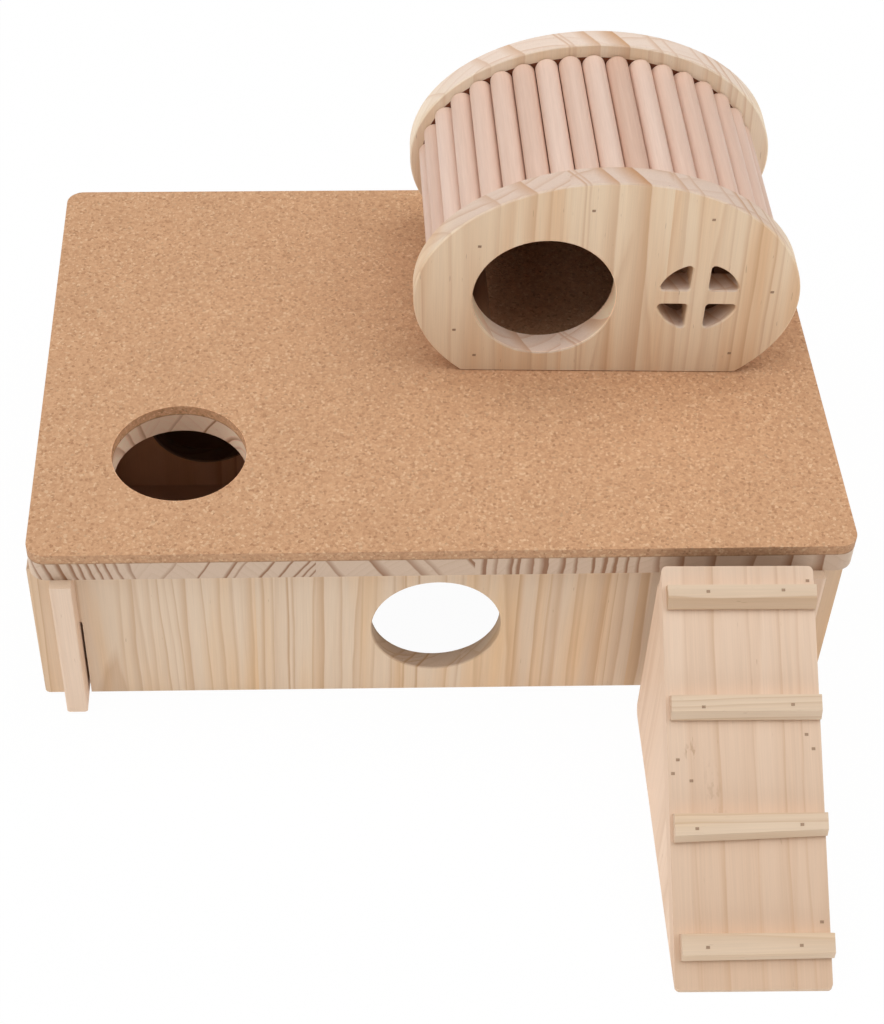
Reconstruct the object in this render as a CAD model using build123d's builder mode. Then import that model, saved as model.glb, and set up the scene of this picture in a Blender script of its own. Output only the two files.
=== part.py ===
from build123d import *
import os
from math import atan2, cos, radians, sin, tan

# Wooden hamster house, in millimetres: a pine box whose panels lap through each
# other, a cork-topped platform that lies on it, a hut with a roof of round rods
# that stands on the cork, and a cleated ramp that stands in front.
# The frame's origin is on the floor under the middle of the whole; +Z is up and
# the front, with the ramp, faces -Y.

os.makedirs("parts", exist_ok=True)

# ---- Box: three cross panels lapped into two side panels -------------------------
box_height = 84.0          # floor to the underside of the platform
box_depth = 234.2          # outer face of the front wall to that of the back wall
panel_thick = 9.0
wall_length = 348.7        # length of a cross panel
side_inset = 10.35         # from a cross panel's end to the side panel's outer face
leg_proud = 11.3           # side panel's end beyond the outer face of a wall
front_room = 123.1         # clear depth between the front wall and the partition
lap_slack = 1.1            # free width of a slot, on its inner side
lap_height = 49.8          # height of the walls' slots, from below
lap_lift = 0.3             # free height between two slots that meet
panel_corner = 2.0         # rounding of a panel's lower corners
edge_break = 0.5           # small bevel along the panels' visible edges
foot_rise = 1.6            # the front wall is cut a little askew: its lower left corner is this high

entrance_radius = 28.5     # hole in the front wall
entrance_x = 0.45          # from the middle of the wall
entrance_z = 43.4
passage_radius = 27.0      # hole in the partition
passage_x = -104.4
passage_z = 43.4

# ---- Platform: pine board with a cork sheet glued on ------------------------------
board_length = 350.0
overhang = 6.4             # board beyond the outer face of a wall
board_thick = 9.8
board_corner = 8.0
board_shift = 1.85         # the board lies this far right of the box's middle
cork_thick = 5.2
cork_break = 0.7           # worn upper edge of the cork
hatch_radius = 29.5        # hole through board and cork
hatch_from_left = 62.0
hatch_from_front = 60.6

# ---- Hut: two pierced plates joined by a roof of rods -----------------------------
hut_from_right = 97.9      # middle of the hut from the board's right edge
hut_from_back = 78.5
hut_turn = -1.45           # degrees about Z, as the hut stands on the cork
plate_thick = 12.0
plate_half_width = 85.3    # half axes of the plates' oval
plate_half_height = 62.9
oval_height = 42.9         # middle of the oval above the hut's flat foot
plate_bevel = 0.6
back_plate_shift = 0.4     # how far right of the front plate the back plate is nailed
door_radius = 31.7
door_x = -27.6
door_z = 42.9
window_radius = 18.4
window_x = 40.4
window_z = 44.1
window_bar = 8.0           # width of the window's cross
pane_corner = 1.8

rod_radius = 5.0
rod_length = 91.8          # clear distance between the plates
rod_lean = 1.45            # degrees off square, so that the rods run front to back
rods_x = 0.6               # middle of the rods' oval, right of the plates' middle
rods_z = 45.3              # and above the foot
rods_half_width = 74.0     # half axes of the oval through the rods' middles
rods_half_height = 50.4
rod_pitch = 10.72          # along that oval
rods_shift = -0.8          # the top rod off the oval's top, along the oval
rods_per_side = 13         # on each side of the top rod
roof_span = 150.0          # degrees of the oval, each way from its top

# ---- Ramp: a board on two triangular sides, with four cleats ----------------------
ramp_lap = 0.7             # how far the ramp's rear reaches across the right leg
ramp_width = 63.8
ramp_run = 144.5           # depth along the floor
ramp_rise = 1.9            # top edge above the top of the pine board
ramp_gap = 2.2             # between the ramp's rear left corner and the side panels' ends
ramp_turn = -0.71          # degrees about that corner
deck_thick = 9.0
deck_corner = 2.2          # rounding of the deck's upper corners
toe_height = 1.5
toe_corner = 2.0
ramp_side_thick = 12.0
ramp_heel = 5.0            # rounding of a side's lower rear corner

cleat_thick = 5.0
bevel_height = 3.0         # of the bevels along the cleats' lower edges
cleat_starts = [8.5, 54.2, 102.3, 150.3]   # down the slope from the top edge
cleat_widths = [(9.8, 9.8), (10.1, 10.1), (11.7, 9.3), (10.7, 10.0)]     # at the left and right ends
cleat_bevels = [4.1, 3.4, 2.6, 2.2]
cleat_insets = [1.8, 1.7, 1.3, 2.5]        # from the deck's left edge
cleat_overhangs = [0.0, 0.0, 0.2, 0.6]     # past the deck's right edge

# ---- Brads ------------------------------------------------------------------------
brad_width = 1.0           # flat wire, as a brad gun shoots
brad_depth = 0.8
brad_head_width = 1.5
brad_head_depth = 1.15
brad_head_thick = 0.7
brad_proud = 0.15          # head above the wood
plate_brad_length = 25.0
deck_brad_length = 16.0
cleat_brad_length = 12.0
nailed_rods = {            # rod, counted from the top one: how far off its middle
    -13: (-3.6, -1.3),
    -11: (1.3, -1.8),
    -6: (2.0, -3.0),
    -1: (0.9, -3.7),
    4: (0.1, -0.1),
    9: (-1.8, -0.6),
    13: (3.0, 0.0),
}
left_deck_brads = [(4.2, 80.4), (2.0, 86.0), (9.5, 89.0)]    # in from the edge, down the slope
right_deck_brads = [(2.6, 6.3), (6.0, 70.3), (3.4, 76.2), (3.3, 146.0)]
left_cleat_brads = [(18.5, 11.4), (14.8, 59.2), (10.3, 108.5), (12.9, 155.6)]
right_cleat_brads = [(14.0, 10.9), (12.2, 58.4), (10.6, 107.1), (13.1, 155.1)]

# ---- Places worked out from the sizes above ---------------------------------------
board_depth = box_depth + 2 * overhang
board_x = (board_shift + (wall_length - board_length) / 2) / 2
box_x = board_x - board_shift
ramp_skew = radians(ramp_turn)
ramp_depth = ramp_run * cos(ramp_skew) - ramp_width * sin(ramp_skew)
front_y = (ramp_gap + ramp_depth - box_depth) / 2    # outer face of the front wall
back_y = front_y + box_depth
board_y = (front_y + back_y) / 2
board_left = board_x - board_length / 2
board_right = board_x + board_length / 2
board_front = front_y - overhang
board_back = back_y + overhang
cork_z = box_height + board_thick
deck_z = cork_z + cork_thick
side_length = box_depth + 2 * leg_proud
side_slot_depth = box_height - lap_height + lap_lift
slot_width = panel_thick + lap_slack
slot_x = wall_length / 2 - side_inset - slot_width / 2     # from the wall's middle
partition_y = front_y + panel_thick + front_room


def facing_front(x, y, z):
    """An upright sketch plane: its x along the row's x, its y up, seen from the front."""
    return Plane(origin=(x, y, z), x_dir=(1, 0, 0), z_dir=(0, -1, 0))


def facing_right(x, y, z):
    """An upright sketch plane: its x along the row's y, its y up, seen from the right."""
    return Plane(origin=(x, y, z), x_dir=(0, 1, 0), z_dir=(1, 0, 0))


# ---- Box: front wall, partition and back wall -------------------------------------
def cross_panel(y, hole=None, skew=0):
    """A wall that is slotted from below for the two side panels; skew lifts its lower left corner."""
    with BuildPart() as panel:
        with BuildSketch(facing_front(box_x, y, 0)) as outline:
            with BuildLine():
                Polyline(
                    (-wall_length / 2, skew),
                    (wall_length / 2, 0),
                    (wall_length / 2, box_height),
                    (-wall_length / 2, box_height),
                    close=True,
                )
            make_face()
            fillet(outline.vertices().sort_by(Axis.Y)[:2], panel_corner)
            with Locations((-slot_x, 0), (slot_x, 0)):
                Rectangle(slot_width, lap_height, align=(Align.CENTER, Align.MIN), mode=Mode.SUBTRACT)
            slot_ends = outline.vertices().group_by(Axis.Y)[-2].sort_by(Axis.X)
            inner_corners = slot_ends[1:-1]
            fillet(inner_corners, lap_slack)
            if hole:
                hole_x, hole_z, hole_radius = hole
                with Locations((hole_x, hole_z)):
                    Circle(hole_radius, mode=Mode.SUBTRACT)
        extrude(amount=-panel_thick)
        if hole:
            chamfer(panel.edges().filter_by(GeomType.CIRCLE).sort_by(SortBy.RADIUS)[-2:], edge_break)
    return panel


front_wall = cross_panel(front_y, (entrance_x, entrance_z, entrance_radius), foot_rise)
front_wall.part.label = "front_wall"
export_step(front_wall.part, "parts/front_wall.step")

inner_partition = cross_panel(partition_y, (passage_x, passage_z, passage_radius))
inner_partition.part.label = "inner_partition"
export_step(inner_partition.part, "parts/inner_partition.step")

back_wall = cross_panel(back_y - panel_thick)
back_wall.part.label = "back_wall"
export_step(back_wall.part, "parts/back_wall.step")


# ---- Box: side panels, whose ends stand out as legs -------------------------------
def side_panel(x):
    """A side that is slotted from above for the three cross panels."""
    side_front = front_y - leg_proud
    with BuildPart() as panel:
        with BuildSketch(facing_right(x, side_front, 0)) as outline:
            Rectangle(side_length, box_height, align=(Align.MIN, Align.MIN))
            fillet(outline.vertices().group_by(Axis.Y)[0], panel_corner)
            slot_backs = [front_y, partition_y, back_y - panel_thick]
            with Locations(*[(y + panel_thick / 2 - side_front, box_height) for y in slot_backs]):
                Rectangle(panel_thick, side_slot_depth, align=(Align.CENTER, Align.MAX), mode=Mode.SUBTRACT)
        extrude(amount=panel_thick)
        chamfer(panel.edges().filter_by(Axis.Z).group_by(Axis.Y)[0], edge_break)
        chamfer(panel.edges().filter_by(Axis.Z).group_by(Axis.Y)[-1], edge_break)
    return panel


left_side_x = box_x - wall_length / 2 + side_inset
left_side_panel = side_panel(left_side_x)
left_side_panel.part.label = "left_side_panel"
export_step(left_side_panel.part, "parts/left_side_panel.step")

right_side_x = box_x + wall_length / 2 - side_inset - panel_thick
right_side_panel = side_panel(right_side_x)
right_side_panel.part.label = "right_side_panel"
export_step(right_side_panel.part, "parts/right_side_panel.step")


# ---- Platform ---------------------------------------------------------------------
def platform_layer(z, thick):
    """One layer of the platform: rounded corners and the hatch hole."""
    with BuildPart() as layer:
        with BuildSketch(Plane.XY.offset(z)) as outline:
            with Locations((board_x, board_y)):
                RectangleRounded(board_length, board_depth, board_corner)
            with Locations((board_left + hatch_from_left, board_front + hatch_from_front)):
                Circle(hatch_radius, mode=Mode.SUBTRACT)
        extrude(amount=thick)
    return layer


top_board = platform_layer(box_height, board_thick)
chamfer(top_board.faces().sort_by(Axis.Z)[0].outer_wire().edges(), edge_break)
top_board.part.label = "top_board"
export_step(top_board.part, "parts/top_board.step")

cork_sheet = platform_layer(cork_z, cork_thick)
chamfer(cork_sheet.faces().sort_by(Axis.Z)[-1].edges(), cork_break)
cork_sheet.part.label = "cork_sheet"
export_step(cork_sheet.part, "parts/cork_sheet.step")

# ---- Hut: plates ------------------------------------------------------------------
hut_x = board_right - hut_from_right
hut_y = board_back - hut_from_back
hut_frame = Plane(
    origin=(hut_x, hut_y, deck_z),
    x_dir=(cos(radians(hut_turn)), sin(radians(hut_turn)), 0),
    z_dir=(0, 0, 1),
)
hut_forward = -hut_frame.y_dir
plate_front = rod_length / 2 + plate_thick      # from the hut's middle to a plate's outer face


def hut_upright(y, x=0):
    """An upright sketch plane across the hut, y behind its middle, seen from its front."""
    return Plane(origin=hut_frame.from_local_coords((x, y, 0)), x_dir=hut_frame.x_dir, z_dir=hut_forward)


def hut_plate(y, x=0, pierced=False):
    """A plate with an oval outline about x, cut flat at its foot, its front face at y."""
    with BuildSketch() as panes:
        Circle(window_radius)
        Rectangle(2 * window_radius, window_bar, mode=Mode.SUBTRACT)
        Rectangle(window_bar, 2 * window_radius, mode=Mode.SUBTRACT)
        fillet(panes.vertices(), pane_corner)
    with BuildPart() as plate:
        with BuildSketch(hut_upright(y, x)):
            with Locations((0, oval_height)):
                Ellipse(plate_half_width, plate_half_height)
            Rectangle(
                2 * plate_half_width, plate_half_height, align=(Align.CENTER, Align.MAX), mode=Mode.SUBTRACT
            )
            if pierced:
                with Locations((door_x, door_z)):
                    Circle(door_radius, mode=Mode.SUBTRACT)
                with Locations((window_x, window_z)):
                    add(panes.sketch, mode=Mode.SUBTRACT)
        extrude(amount=-plate_thick)
        across = Axis((0, 0, 0), hut_forward)
        chamfer(plate.faces().sort_by(across)[-1].edges(), plate_bevel)
        chamfer(plate.faces().sort_by(across)[0].outer_wire().edges(), plate_bevel)
    return plate


hut_front_plate = hut_plate(-plate_front, pierced=True)
hut_front_plate.part.label = "hut_front_plate"
export_step(hut_front_plate.part, "parts/hut_front_plate.step")

hut_back_plate = hut_plate(rod_length / 2, back_plate_shift)
hut_back_plate.part.label = "hut_back_plate"
export_step(hut_back_plate.part, "parts/hut_back_plate.step")

# ---- Hut: rods, evenly spaced along an oval inside the plates' outline -------------
with BuildLine():
    roof_line = EllipticalCenterArc(
        (rods_x, rods_z),
        rods_half_width,
        rods_half_height,
        start_angle=90 - roof_span,
        arc_size=2 * roof_span,
    )


def rod_place(number):
    """Middle of a rod in the plates' plane; number 0 is at the top, minus is left."""
    spot = roof_line @ (0.5 - (number * rod_pitch + rods_shift) / roof_line.length)
    return (spot.X, spot.Y)


rod_drift = rod_length * tan(radians(rod_lean))       # a rod's back end left of its front end
rod_way = hut_frame.y_dir * rod_length - hut_frame.x_dir * rod_drift
rod_numbers = range(-rods_per_side, rods_per_side + 1)
for count, number in enumerate(rod_numbers, start=1):
    with BuildPart() as roof_rod:
        with BuildSketch(hut_upright(-rod_length / 2)):
            with Locations(rod_place(number)):
                Circle(rod_radius)
        extrude(amount=rod_way.length, dir=rod_way.normalized())
    roof_rod.part.label = f"roof_rod_{count:02d}"
    export_step(roof_rod.part, f"parts/roof_rod_{count:02d}.step")

# ---- Ramp: deck -------------------------------------------------------------------
ramp_top = cork_z + ramp_rise
ramp_back_y = front_y - leg_proud - ramp_gap
ramp_right = right_side_x + ramp_lap
ramp_left = ramp_right - ramp_width
slope = atan2(ramp_top - toe_height, ramp_run)
deck_under = ramp_top - deck_thick / cos(slope)        # underside of the deck at its rear
under_run = deck_under * ramp_run / (ramp_top - toe_height)
ramp_frame = Plane(
    origin=(ramp_left, ramp_back_y, 0), x_dir=(cos(ramp_skew), sin(ramp_skew), 0), z_dir=(0, 0, 1)
)
down_slope = ramp_frame.y_dir * -cos(slope) - Vector(0, 0, sin(slope))
off_slope = ramp_frame.y_dir * -sin(slope) + Vector(0, 0, cos(slope))
deck_face = Plane(origin=(ramp_left, ramp_back_y, ramp_top), x_dir=ramp_frame.x_dir, z_dir=off_slope)


def ramp_upright(x):
    """An upright sketch plane along the ramp, x from its left face, seen from the right."""
    return Plane(
        origin=ramp_frame.from_local_coords((x, 0, 0)), x_dir=ramp_frame.y_dir, z_dir=ramp_frame.x_dir
    )


with BuildPart() as ramp_board:
    with BuildSketch(ramp_upright(0)):
        with BuildLine():
            Polyline(
                (0, ramp_top),
                (-ramp_run, toe_height),
                (-ramp_run, 0),
                (-under_run, 0),
                (0, deck_under),
                close=True,
            )
        make_face()
    extrude(amount=ramp_width)
    uprights = ramp_board.edges().filter_by(Axis.Z).sort_by(Axis.Y)
    toe_ends, rear_ends = uprights[:2], uprights[2:]
    fillet(rear_ends, deck_corner)
    fillet(toe_ends, toe_corner)
ramp_board.part.label = "ramp_board"
export_step(ramp_board.part, "parts/ramp_board.step")


# ---- Ramp: sides ------------------------------------------------------------------
def ramp_side(x):
    """A triangular side under the deck, its left face at x from the ramp's."""
    with BuildPart() as side:
        with BuildSketch(ramp_upright(x)) as outline:
            with BuildLine():
                Polyline((0, 0), (0, deck_under), (-under_run, 0), close=True)
            make_face()
            fillet(outline.vertices().group_by(Axis.Y)[0].sort_by(Axis.X)[-1], ramp_heel)
        extrude(amount=ramp_side_thick)
    return side


ramp_side_left = ramp_side(0)
ramp_side_left.part.label = "ramp_side_left"
export_step(ramp_side_left.part, "parts/ramp_side_left.step")

ramp_side_right = ramp_side(ramp_width - ramp_side_thick)
ramp_side_right.part.label = "ramp_side_right"
export_step(ramp_side_right.part, "parts/ramp_side_right.step")

# ---- Ramp: cleats, bevelled along their lower edge ---------------------------------
for count, start in enumerate(cleat_starts, start=1):
    left_width, right_width = cleat_widths[count - 1]
    left_end = cleat_insets[count - 1]
    right_end = ramp_width + cleat_overhangs[count - 1]
    with BuildPart() as cleat:
        with BuildSketch(deck_face):
            with BuildLine():
                Polyline(
                    (left_end, -start),
                    (right_end, -start),
                    (right_end, -start - right_width),
                    (left_end, -start - left_width),
                    close=True,
                )
            make_face()
        extrude(amount=cleat_thick)
        lower_edge = cleat.edges().sort_by(Axis((0, 0, 0), down_slope + off_slope))[-1]
        chamfer(lower_edge, bevel_height, cleat_bevels[count - 1])
    cleat.part.label = f"ramp_cleat_{count}"
    export_step(cleat.part, f"parts/ramp_cleat_{count}.step")


# ---- Brads ------------------------------------------------------------------------
def brad_set(surface, spots, length):
    """Brads driven square into a surface, with their heads a little proud of it."""
    neck = surface.offset(brad_proud - brad_head_thick)
    with BuildPart() as brads:
        with BuildSketch(neck):
            with Locations(*spots):
                Rectangle(brad_head_width, brad_head_depth)
        extrude(amount=brad_head_thick)
        with BuildSketch(neck):
            with Locations(*spots):
                Rectangle(brad_width, brad_depth)
        extrude(amount=brad_head_thick - length)
    return brads


rod_brad_spots = []
for number, (off_x, off_z) in nailed_rods.items():
    rod_x, rod_z = rod_place(number)
    rod_brad_spots.append((rod_x + off_x, rod_z + off_z))

hut_front_brads = brad_set(hut_upright(-plate_front), rod_brad_spots, plate_brad_length)
hut_front_brads.part.label = "hut_front_brads"
export_step(hut_front_brads.part, "parts/hut_front_brads.step")

behind_hut = Plane(
    origin=hut_frame.from_local_coords((0, plate_front, 0)), x_dir=-hut_frame.x_dir, z_dir=hut_frame.y_dir
)
back_brad_spots = [(rod_drift - x, z) for x, z in rod_brad_spots]
hut_back_brads = brad_set(behind_hut, back_brad_spots, plate_brad_length)
hut_back_brads.part.label = "hut_back_brads"
export_step(hut_back_brads.part, "parts/hut_back_brads.step")


def ramp_spots(left, right):
    """Places on the deck's face from brads given in from its left and its right edge."""
    return [(inset, -down) for inset, down in left] + [(ramp_width - inset, -down) for inset, down in right]


deck_spots = ramp_spots(left_deck_brads, right_deck_brads)
ramp_board_brads = brad_set(deck_face, deck_spots, deck_brad_length)
ramp_board_brads.part.label = "ramp_board_brads"
export_step(ramp_board_brads.part, "parts/ramp_board_brads.step")

cleat_spots = ramp_spots(left_cleat_brads, right_cleat_brads)
ramp_cleat_brads = brad_set(deck_face.offset(cleat_thick), cleat_spots, cleat_brad_length)
ramp_cleat_brads.part.label = "ramp_cleat_brads"
export_step(ramp_cleat_brads.part, "parts/ramp_cleat_brads.step")
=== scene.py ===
import math

import bpy
from bpy.props import FloatProperty, FloatVectorProperty, PointerProperty
from mathutils import Euler, Matrix, Vector


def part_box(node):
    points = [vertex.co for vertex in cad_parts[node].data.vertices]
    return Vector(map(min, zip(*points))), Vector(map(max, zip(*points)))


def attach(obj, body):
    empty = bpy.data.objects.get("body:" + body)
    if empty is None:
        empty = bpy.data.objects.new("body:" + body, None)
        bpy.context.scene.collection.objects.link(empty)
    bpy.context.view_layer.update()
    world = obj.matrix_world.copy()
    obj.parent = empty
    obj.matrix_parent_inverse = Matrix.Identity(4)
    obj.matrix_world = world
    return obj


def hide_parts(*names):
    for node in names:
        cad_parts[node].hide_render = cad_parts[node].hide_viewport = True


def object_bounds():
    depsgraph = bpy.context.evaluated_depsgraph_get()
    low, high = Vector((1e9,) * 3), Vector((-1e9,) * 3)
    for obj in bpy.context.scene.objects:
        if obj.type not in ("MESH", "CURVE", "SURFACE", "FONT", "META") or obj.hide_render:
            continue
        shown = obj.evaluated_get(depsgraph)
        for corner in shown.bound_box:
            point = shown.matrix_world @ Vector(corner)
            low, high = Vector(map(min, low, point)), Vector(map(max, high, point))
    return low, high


bl_info = {
    "name": "Wooden Hamster House",
    "version": (1, 0, 0),
    "blender": (4, 5, 0),
    "location": "View3D > Sidebar > Hamster House",
    "description": "Finishes a pine and cork hamster house and sets it on a pale studio floor",
    "category": "Object",
}

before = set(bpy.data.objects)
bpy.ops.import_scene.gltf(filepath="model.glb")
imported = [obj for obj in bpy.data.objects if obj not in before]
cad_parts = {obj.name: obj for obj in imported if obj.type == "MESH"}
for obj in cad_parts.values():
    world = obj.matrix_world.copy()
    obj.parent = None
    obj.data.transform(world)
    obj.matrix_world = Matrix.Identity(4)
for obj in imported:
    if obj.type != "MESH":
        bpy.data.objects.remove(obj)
cad_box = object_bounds()

MM = 0.001

# The hut stands a little turned on the cork, and the ramp's deck slopes.
HUT_TURN = math.radians(-1.45)
RAMP_SLOPE = math.radians(33.0)
PLATE_TILT = math.radians(-2.0)     # of the grain in the hut's plates
ROD_COUNT = 27
RODS_HEIGHT = 45.3 * MM             # from the plates' foot to the middle of the oval of rods
INNER_MARGIN = 1.5 * MM             # how far inside the rods' outline the plates' painted shade ends

# The holes whose rims get painted light or painted shade: the middle of each and its half size, which is 0
# along the hole.
plate_low, plate_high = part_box("hut_front_plate")
plate_foot = Vector(((plate_low.x + plate_high.x) / 2, 0, plate_low.z))
DOOR = (plate_foot + Vector((-27.6, 0, 42.9)) * MM, Vector((31.8, 0, 31.8)) * MM)
PASSAGE = (Vector((-105.65, 0, 43.4)) * MM, Vector((27.6, 0, 27.6)) * MM)
HATCH = (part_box("top_board")[0] + Vector((62.0, 60.6, 0)) * MM, Vector((29.6, 29.6, 0)) * MM)

# The floor behind the entrance that stays white: how far it reaches to each side of the wall's middle,
# and back from the wall's face.
WHITE_SIDEWAYS = 48 * MM
WHITE_BACK = 86 * MM
FLOOR_SIZE = 12.0

# Where the camera stands, and how it is turned, in radians.
CAMERA_PLACE = Vector((-55.0, -619.66, 716.2)) * MM
CAMERA_SHIFT = 0.06055
CAMERA_YAW = 0.04905
CAMERA_PITCH = 0.80477
CAMERA_ROLL = 0.02365

# How a board's own axes lie in the house: x across the board, y through it, z along its grain.
UPRIGHT_ACROSS = Euler((0, 0, 0))
UPRIGHT_DEEP = Euler((0, 0, math.pi / 2))
LYING_DEEP = Euler((-math.pi / 2, 0, 0))
LYING_ACROSS = Euler((0, math.pi / 2, 0))
ALONG_SLOPE = Euler((RAMP_SLOPE - math.pi / 2, 0, 0))
HUT_UPRIGHT = Euler((0, PLATE_TILT, HUT_TURN))


# ---- Colours and nodes -----------------------------------------------------------
def linear(hex_code):
    """An sRGB hex colour as the linear colour that Blender's sockets hold."""
    shares = [int(hex_code[i:i + 2], 16) / 255 for i in (0, 2, 4)]
    return [s / 12.92 if s <= 0.04045 else ((s + 0.055) / 1.055) ** 2.4 for s in shares]


def colour(name, description, hex_code):
    """A colour that the user can change."""
    return FloatVectorProperty(
        name=name, description=description, subtype="COLOR", size=3, min=0, max=1,
        default=linear(hex_code),
    )


def length(name, description, millimetres):
    """A length that the user can change."""
    return FloatProperty(
        name=name, description=description, subtype="DISTANCE", unit="LENGTH", min=0,
        default=millimetres * MM, precision=5,
    )


def share(name, description, default):
    """A share from 0 to 1 that the user can change."""
    return FloatProperty(
        name=name, description=description, subtype="FACTOR", min=0, max=1, default=default,
    )


def factor(name, description, default):
    """A factor from 0 to 3 that the user can change."""
    return FloatProperty(name=name, description=description, min=0, max=3, default=default)


def add_node(tree, kind, inputs=None, stops=None, **settings):
    """Adds a node with its settings.

    inputs gives its sockets a value or another node's output, and stops are a ramp's places and greys.
    """
    node = tree.nodes.new(kind)
    for name, value in settings.items():
        setattr(node, name, value)
    for socket, value in (inputs or {}).items():
        if isinstance(value, bpy.types.NodeSocket):
            tree.links.new(value, node.inputs[socket])
        else:
            node.inputs[socket].default_value = value
    if stops:
        elements = node.color_ramp.elements
        while len(elements) < len(stops):
            elements.new(1.0)
        for element, (place, grey) in zip(elements, stops):
            element.position = place
            element.color = (grey, grey, grey, 1)
    return node


def new_material(name):
    """An empty node material with its shader and output, and the shader itself."""
    material = bpy.data.materials.new(name)
    material.use_nodes = True
    tree = material.node_tree
    tree.nodes.clear()
    shader = add_node(tree, "ShaderNodeBsdfPrincipled")
    add_node(tree, "ShaderNodeOutputMaterial", {"Surface": shader.outputs[0]})
    return material, shader


def opaque(rgb):
    """A user's colour as a socket's four numbers."""
    return [*rgb, 1.0]


# ---- Materials -------------------------------------------------------------------
RING_EDGE = 0.5         # millimetres over which a ring's dark summer wood ends
RINGS_PER_RAMP = 8      # so that a ramp's steps stay finer than a ring's edge
SLOW_WAVE = 16.0        # millimetres by which the rings swing along the trunk
QUICK_WAVE = 1.6        # millimetres by which their edges are rough
CROWDING = 2.4          # years by which rings crowd or spread
WANDER = 5.0            # millimetres by which a marked ring strays
FAINTEST_RING = 0.15    # of the strongest ring's darkness
STAVES_APART = 60       # so that no stave's waves and streaks are another's
SHADOW_LINE_HEIGHT = 0.9       # millimetres up to which a painted shadow line darkens the cork's edge
SHADOW_LINE_SHADE = 0.62       # brightness of the cork in the painted shadow line


def noise(tree, place, lump, detail=2.0):
    """Noise whose lumps are as large across, through and along the board as lump says, in millimetres."""
    scaled = add_node(tree, "ShaderNodeVectorMath", {0: place, 1: [1 / size for size in lump]},
                      operation="MULTIPLY").outputs[0]
    return add_node(tree, "ShaderNodeTexNoise", {
        "Vector": scaled, "Scale": 1.0, "Detail": detail,
    }).outputs[0]


def reach(tree, place, middle, half):
    """How far a place is from a middle, as a share of the half size.

    A way whose half size is 0 is left out.
    """
    away = add_node(tree, "ShaderNodeVectorMath", {0: place, 1: middle}, operation="SUBTRACT").outputs[0]
    away = add_node(tree, "ShaderNodeVectorMath", {
        0: away, 1: [1 / size if size else 0 for size in half],
    }, operation="MULTIPLY").outputs[0]
    return add_node(tree, "ShaderNodeVectorMath", {0: away}, operation="LENGTH").outputs["Value"]


def in_oval(tree, place, middle, half):
    """1 inside a round or oval hollow, 0 outside it."""
    away = reach(tree, place, middle, half)
    return add_node(tree, "ShaderNodeMath", {0: away, 1: 1.0}, operation="LESS_THAN").outputs[0]


def marked_rings(tree, place, rings):
    """The rings that stand out, each (edge, width, strength).

    A ring darkens over its width up to a sharp edge, or down from it where the width is negative.
    """
    total = None
    for first in range(0, len(rings), RINGS_PER_RAMP):
        group = []
        for edge, width, strength in rings[first:first + RINGS_PER_RAMP]:
            beyond = edge + math.copysign(RING_EDGE, width)
            group += sorted([(edge - width, 0), (edge, strength), (beyond, 0)])
        low, high = group[0][0], group[-1][0]
        along_ramp = add_node(tree, "ShaderNodeMapRange", {0: place, 1: low, 2: high}).outputs[0]
        stops = [((at - low) / (high - low), dark) for at, dark in group]
        dark = add_node(tree, "ShaderNodeValToRGB", {0: along_ramp}, stops=stops).outputs[0]
        if total:
            dark = add_node(tree, "ShaderNodeMath", {0: dark, 1: total}, operation="MAXIMUM").outputs[0]
        total = dark
    return total


def stave_hearts(tree, across, staves):
    """Where the heart of each stave's tree is, across the board and through it, and its rings' lean."""
    heart = None
    for start, heart_x, heart_y, lean in staves:
        if heart is None:
            heart = add_node(tree, "ShaderNodeCombineXYZ", {0: heart_x, 1: heart_y, 2: lean}).outputs[0]
            continue
        past = add_node(tree, "ShaderNodeMath", {0: across, 1: start}, operation="GREATER_THAN").outputs[0]
        heart = add_node(tree, "ShaderNodeMix", {0: past, 4: heart, 5: [heart_x, heart_y, lean]},
                         data_type="VECTOR").outputs[1]
    return heart


def growth_rings(tree, finish, board, heart, stave_place):
    """How dark the yearly rings round the heart make the wood, from 0 in spring wood."""
    # The trunk isn't straight: slow waves shift the rings, and quick ones roughen them.
    slow = noise(tree, stave_place, (60, 60, 350), 1.0)
    quick = noise(tree, board, (9, 9, 70))
    radius = reach(tree, board, heart, (1, 1, 0))
    waved = add_node(tree, "ShaderNodeMath", {0: slow, 1: SLOW_WAVE, 2: radius},
                     operation="MULTIPLY_ADD").outputs[0]
    waved = add_node(tree, "ShaderNodeMath", {0: quick, 1: QUICK_WAVE, 2: waved},
                     operation="MULTIPLY_ADD").outputs[0]
    year = add_node(tree, "ShaderNodeMath", {0: waved, 1: finish.ring / MM}, operation="DIVIDE").outputs[0]
    uneven = add_node(tree, "ShaderNodeTexNoise", {"W": year, "Scale": 0.37, "Detail": 0.0},
                      noise_dimensions="1D").outputs[0]
    year = add_node(tree, "ShaderNodeMath", {0: uneven, 1: CROWDING, 2: year},
                    operation="MULTIPLY_ADD").outputs[0]
    season = add_node(tree, "ShaderNodeMath", {0: year}, operation="FRACT").outputs[0]
    count = add_node(tree, "ShaderNodeMath", {0: year}, operation="FLOOR").outputs[0]
    strength = add_node(tree, "ShaderNodeTexWhiteNoise", {"W": count}, noise_dimensions="1D").outputs[0]
    strength = add_node(tree, "ShaderNodeMapRange", {
        0: strength, 3: FAINTEST_RING * finish.figure, 4: finish.figure,
    }).outputs[0]
    late = add_node(tree, "ShaderNodeValToRGB", {0: season}, stops=[
        (0.0, 0.0), (0.35, 0.06), (0.7, 0.38), (0.92, 1.0), (1.0, 0.0),
    ]).outputs[0]
    return add_node(tree, "ShaderNodeMath", {0: late, 1: strength}, operation="MULTIPLY").outputs[0]


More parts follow.
